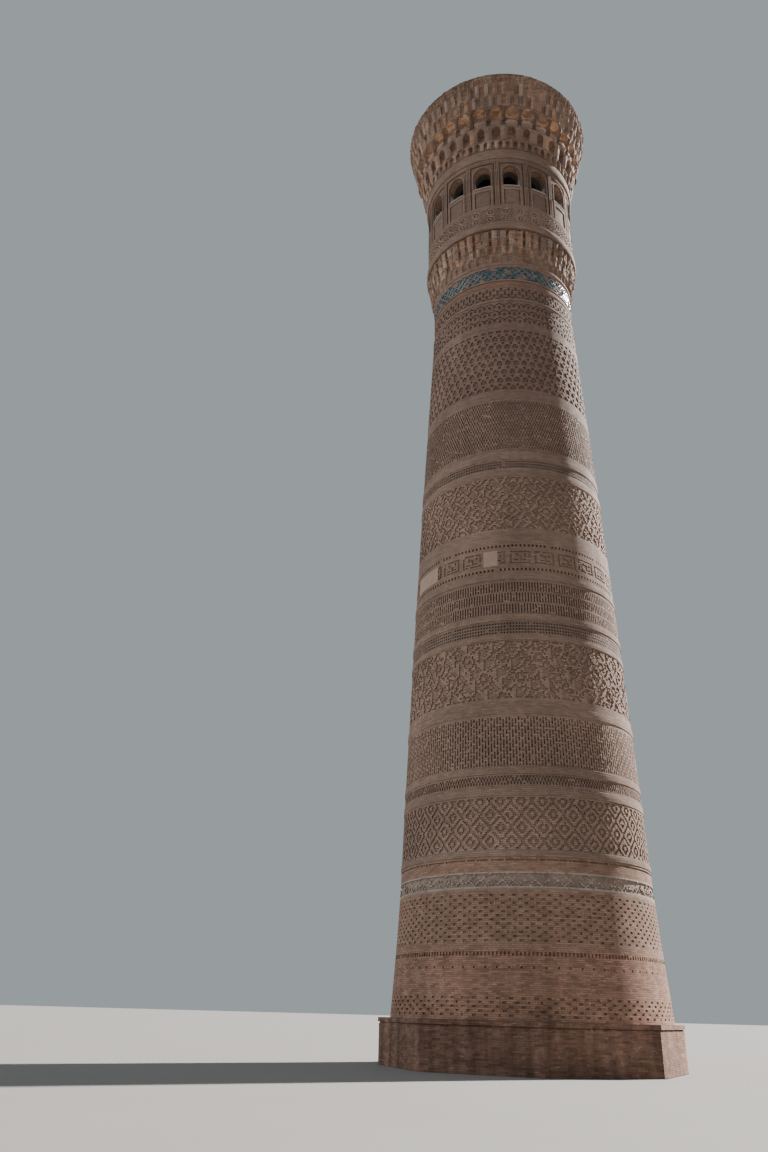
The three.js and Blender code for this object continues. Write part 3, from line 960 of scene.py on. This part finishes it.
def make_gallery_base():
    bore = [(36.37, WELL_RADIUS), (37.12, WELL_RADIUS), (37.12, ROOM_RADIUS), (37.42, ROOM_RADIUS)]
    drum("gallery_base", 512, [Zone(36.42, 1), Zone(37.32, 20, strapwork), Zone(37.42, 2)],
         lambda height: np.full(np.shape(height), STRAPWORK_RADIUS), bore)


def make_parapet():
    """The wall under the windows: a panel in each bay, with the lines of the window's frame running down
    beside it."""
    sunk_panel, panel, frame_side, frame_back = 0.12, 0.36, 0.4, FRAME[2][0]
    right = [sunk_panel, panel, frame_side, *(half for half, *_ in FRAME[2:])]
    right_kinds = [DEEP, RAISED, RECESSED, DEEP, RAISED, RECESSED]
    edges = np.array([-edge for edge in reversed(right)] + right)
    kinds = np.array([RAISED, *reversed(right_kinds), *[RECESSED] * 3, *right_kinds, RAISED])
    bay_edges = np.concatenate([[-math.pi / WINDOWS], np.arcsin(edges / GALLERY_RADIUS)])
    turns = np.concatenate([turn_at(window, WINDOWS) + bay_edges for window in range(WINDOWS)])
    kinds = np.tile(kinds, WINDOWS)
    place = np.tile(np.concatenate([[-BAY_EDGE], edges]), WINDOWS)
    in_panel, in_opening, in_frame = (
        (place >= -side) & (place < side) for side in (panel, frame_side, frame_back))
    heights = np.array([37.42, 37.54, 38.55, 38.7, 38.81, SILL])
    rail = np.where(in_frame, RAISED, kinds)
    levels = np.array([np.full(len(kinds), RAISED), kinds, rail, np.where(in_opening, RECESSED, rail), rail])
    looks = np.where(levels == DEEP, "shade_brick", "brick").astype(LOOK_NAME)
    looks[1, in_panel] = "arcade_brick"
    looks[3, in_opening] = "shade_brick"
    looks[4, in_opening] = "sill"
    looks[2:4, in_frame & ~in_opening] = "brick"
    closed = np.concatenate([turns, turns[:1] + 2 * np.pi])
    cell_ring("gallery_parapet_panels", "gallery_parapet", turns, heights,
              np.full(len(heights), GALLERY_RADIUS), heights / COURSE, levels, looks, ROOM_RADIUS,
              depths=np.array([0.0, 0.04, 0.09]), across=closed * GALLERY_RADIUS / COURSE)


def wall_point(axis, across, height, depth, radial=False):
    """A point of the gallery's wall: how far across from a window's axis it is, how high, and how deep below
    the face. Lines that go inwards are parallel to the axis, or radial."""
    radius = GALLERY_RADIUS - depth
    return ring_points(radius, axis + np.arcsin(across / (GALLERY_RADIUS if radial else radius)), height)


def between(first, second):
    """The corners of the quads between two lines."""
    return [first[:-1], second[:-1], second[1:], first[1:]]


def frame_line(half, rise, pointed):
    """A line round the window over its springing, from the left foot over the top to the right foot."""
    share = np.linspace(0, 1, ARCH_STEPS + 1)
    if pointed:
        centre = (rise**2 - half**2) / (2 * half)
        radius = half + centre
        angle = share * math.acos(centre / radius)
        across, up = radius * np.cos(angle) - centre, radius * np.sin(angle)
    else:
        across, up = half * np.minimum(1, 2 - 2 * share), rise * np.minimum(1, 2 * share)
    return np.concatenate([-across, across[-2::-1]]), SPRINGING + np.concatenate([up, up[-2::-1]])


def plan_line():
    """Half of a pier's face in plan, from the opening to the middle: (across, depth)."""
    line = [(FRAME[0][0], FRAME[0][3])]
    for half, _, _, depth in FRAME[1:]:
        line += [(half, line[-1][1]), (half, depth)]
    return line + [(BAY_EDGE, 0.0)]


def make_arcade():
    made = Quads()
    lines = [frame_line(*line[:3]) for line in FRAME] + [frame_line(BAY_EDGE, ARCADE_TOP - SPRINGING, False)]
    edge = len(FRAME)
    for window in range(WINDOWS):
        axis = turn_at(window, WINDOWS)

        def strip(first, second, depth, look):
            """The face between two lines at one depth."""
            ends = [lines[line] for line in (first, second)]
            points = [wall_point(axis, *end, depth, end is lines[edge]) for end in ends]
            u, v = ([end[part] / COURSE for end in ends] for part in (0, 1))
            made.add_points(between(*points), between(*u), between(*v), look)

        def reveal(line, depths, look):
            """The face along a line from one depth to another."""
            across, up = lines[line]
            near, far = (wall_point(axis, across, up, depth, line == edge) for depth in depths)
            length = np.concatenate([[0], np.cumsum(np.hypot(np.diff(across), np.diff(up)))]) / COURSE
            u = [depth / COURSE for depth in depths]
            made.add_points(between(near, far), u, (length[:-1], length[1:]), look)

        for index, (line, look) in enumerate(zip(FRAME, FRAME_LOOKS)):
            strip(index + 1, index, line[3], look)
            if index:
                reveal(index, (line[3], FRAME[index - 1][3]), look)
        reveal(0, (FRAME[0][3], REVEAL), "hood_brick")
        # The deeper part of each reveal and the back of the opening are painted dark: painted shade inside
        # the gallery.
        reveal(0, (REVEAL, WALL), "inner_brick")
        strip(0, edge, WALL, "inner_brick")

        across, up = lines[edge]
        top = np.isclose(up, ARCADE_TOP)
        front, back = (wall_point(axis, across[top], ARCADE_TOP, depth, True) for depth in (0.0, WALL))
        u = across[top] / COURSE
        made.add_points([front[:-1], front[1:], back[1:], back[:-1]], (u[:-1], u[1:]), (0, WALL / COURSE),
                        "arcade_brick")
        for side in (1, -1):
            line = [wall_point(axis, side * FRAME[0][0], SPRINGING, depth) for depth in (WALL, REVEAL)]
            line += [wall_point(axis, side * x, SPRINGING, depth, x == BAY_EDGE) for x, depth in plan_line()]
            made.fan(wall_point(axis, side * BAY_EDGE, SPRINGING, WALL, True), np.array(line)[::-side])
    make_piece("gallery_arcade_frames", "gallery_arcade", made)


def make_piers():
    """The piers carry the lines of the window frames down to the sills; the foot of each jamb is whitened."""
    opening = FRAME[0][0]
    for index in range(WINDOWS):
        before, after = turn_at(index, WINDOWS), turn_at(index + 1, WINDOWS)
        loop = [wall_point(before, x, 0.0, depth, x == BAY_EDGE) for x, depth in plan_line()]
        loop += [wall_point(after, -x, 0.0, depth) for x, depth in plan_line()[-2::-1]]
        loop += [wall_point(after, -opening, 0.0, depth) for depth in (REVEAL, WALL)]
        loop += [wall_point(before, BAY_EDGE, 0.0, WALL, True)]
        loop += [wall_point(before, opening, 0.0, depth) for depth in (WALL, REVEAL)]
        loop = np.array(loop)
        following = np.roll(loop, -1, 0)
        length = np.concatenate([[0], np.cumsum(np.linalg.norm(following - loop, axis=1))]) / COURSE
        made = Quads()
        for low, high, jamb in ((SILL, WHITENED, "sill"), (WHITENED, SPRINGING, "arcade_brick")):
            look = np.full(len(loop), "arcade_brick")
            # The pier's inner faces are painted dark: painted shade inside the gallery.
            look[-5:-1] = "inner_brick"
            look[[-1, -6]] = jamb
            down, up = np.array([0, 0, low]), np.array([0, 0, high])
            made.add_points([loop + down, following + down, following + up, loop + up],
                            (length[:-1], length[1:]), (low / COURSE, high / COURSE), look)
        closed = np.concatenate([loop, loop[:1]])
        for height, order in ((SILL, closed[::-1]), (SPRINGING, closed)):
            rise = np.array([0, 0, height])
            made.fan(loop[-3] + rise, order + rise)
        node = f"gallery_pier_{index + 1:02d}"
        make_piece(node + "_brickwork", node, made)


# Plinth

def make_plinth():
    columns, flats = 480, 8
    turns = PLINTH_TURN + turn_at(np.arange(columns), columns)
    from_corner = (turns - turns[0]) % (2 * np.pi / flats)
    corner = math.cos(math.pi / flats) / np.cos(from_corner - math.pi / flats)
    # The wall, a groove and the projecting top course.
    heights = np.array([0.0, 1.33, 1.38, PLINTH_TOP])
    levels = np.array([[RECESSED], [DEEP], [RAISED]]).repeat(columns, 1)
    cell_ring("plinth_brickwork", "plinth", turns, heights, np.full(4, PLINTH_RADIUS), heights / COURSE,
              levels, np.full(levels.shape, "plinth_brick"), [(0.0, 0.0), (PLINTH_TOP, 0.0)], "worn_brick",
              corner=corner)


# Stage, lights and camera

def make_light(name, turn, elevation, strength, spread, colour):
    """A sun lamp that stands turn degrees to the right of the camera, and whose disc is spread degrees
    wide."""
    light = bpy.data.lights.new(name, "SUN")
    light.energy = strength
    light.angle = math.radians(spread)
    light.color = colour
    azimuth, elevation = CAMERA_AZIMUTH + math.radians(turn), math.radians(elevation)
    level = math.cos(elevation)
    towards = Vector((math.cos(azimuth) * level, math.sin(azimuth) * level, math.sin(elevation)))
    lamp = put_in_scene(name, light)
    lamp.rotation_mode = "QUATERNION"
    lamp.rotation_quaternion = towards.to_track_quat("Z", "Y")
    lamp.location = towards * LAMP_DISTANCE


def make_stage():
    mesh = bpy.data.meshes.new("floor")
    corners = [(x * FLOOR_HALF, y * FLOOR_HALF, 0) for x, y in ((-1, -1), (1, -1), (1, 1), (-1, 1))]
    mesh.from_pydata(corners, [], [(0, 1, 2, 3)])
    floor = put_in_scene("floor", mesh)
    paint = Finish()
    paint.material.name = "floor_paint"
    colour = paint.mixed(paint.ranged(paint.noise(0.4, 2.0), 0.3, 0.7, 0.0, 1.0), (0.19, 0.178, 0.166),
                         (0.182, 0.17, 0.158))
    paint.feed(paint.shader, {"Base Color": colour, "Roughness": 0.95})
    mesh.materials.append(paint.material)

    world = bpy.data.worlds.new("studio")
    world.use_nodes = True
    sky = world.node_tree.nodes["Background"]
    sky.inputs["Color"].default_value = (0.78, 0.86, 0.92, 1)
    sky.inputs["Strength"].default_value = SKY_STRENGTH
    bpy.context.scene.world = world

    # A key from behind on the right, and a wide soft fill from the left.
    make_light("key", turn=131, elevation=38, strength=18.0, spread=2.0, colour=(1.0, 0.97, 0.94))
    make_light("fill", turn=-72, elevation=20, strength=1.5, spread=60.0, colour=(0.92, 0.97, 1.0))


def make_camera():
    eye = Vector((0, -CAMERA_DISTANCE, CAMERA_EYE)) * SCALE
    camera = bpy.data.cameras.new("camera")
    camera.lens = CAMERA_LENS_MM
    camera.clip_end = 2000
    seen_from = put_in_scene("camera", camera)
    seen_from.matrix_world = (
        Matrix.Rotation(seen_at(0), 4, "Z") @ Matrix.Translation(eye) @ Matrix.Rotation(-CAMERA_YAW, 4, "Z")
        @ Matrix.Rotation(math.pi / 2 + CAMERA_PITCH, 4, "X") @ Matrix.Rotation(CAMERA_ROLL, 4, "Z"))
    bpy.context.scene.camera = seen_from


make_camera()
make_stage()
make_plinth()
make_shaft()
make_lower_cornice()
round_moulding("gallery_foot_moulding", 35.95, 36.37, 3.79, 0.04, WELL_RADIUS)
round_moulding("crown_moulding", 40.68, 41.28, 3.8, 0.055, ROOM_RADIUS)
make_rim()
make_gallery_base()
make_parapet()
make_piers()
make_arcade()
make_crown()
# The gallery floor and the roof take the paving, with painted shade on their undersides.
for carried in ("gallery_floor", "roof"):
    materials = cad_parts[carried].data.materials
    materials.clear()
    materials.append(LOOKS["paving_brick"])

bpy.context.view_layer.update()
